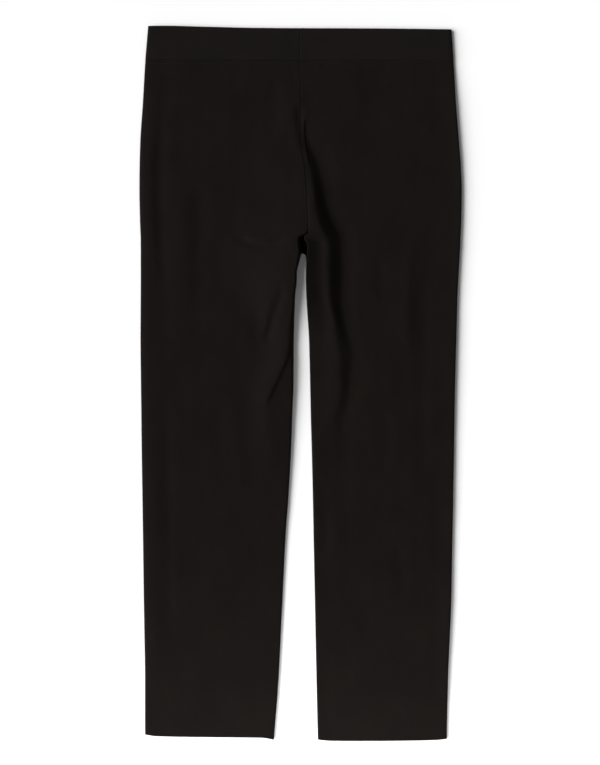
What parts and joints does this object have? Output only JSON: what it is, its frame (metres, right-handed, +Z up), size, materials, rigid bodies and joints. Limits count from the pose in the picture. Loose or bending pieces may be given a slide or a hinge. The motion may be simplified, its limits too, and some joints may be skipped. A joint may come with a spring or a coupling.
{
  "type": "sweatpants",
  "caption": "Black pull-on knit sweatpants laid flat with the seat up: straight open legs with turned-up hems and a wide elastic waistband.",
  "frame": {"origin": "middle of the garment's outline, on the surface that it lies on", "axes": "+Y runs from the hems towards the waistband, +Z up out of the surface, +X towards the leg that holds the deep seat fold"},
  "size_m": [0.4575, 1.014, 0.0186],
  "materials": {
    "knit": "matt fine black knit with a slight sheen at grazing angles",
    "waistband_knit": "matt fine black knit, doubled over elastic"
  },
  "bodies": {
    "root": {"back_left_leg": "knit", "back_right_leg": "knit", "front_left_leg": "knit", "front_right_leg": "knit", "waistband_back_left": "waistband_knit", "waistband_back_right": "waistband_knit", "waistband_front": "waistband_knit"}
  },
  "joints": []
}
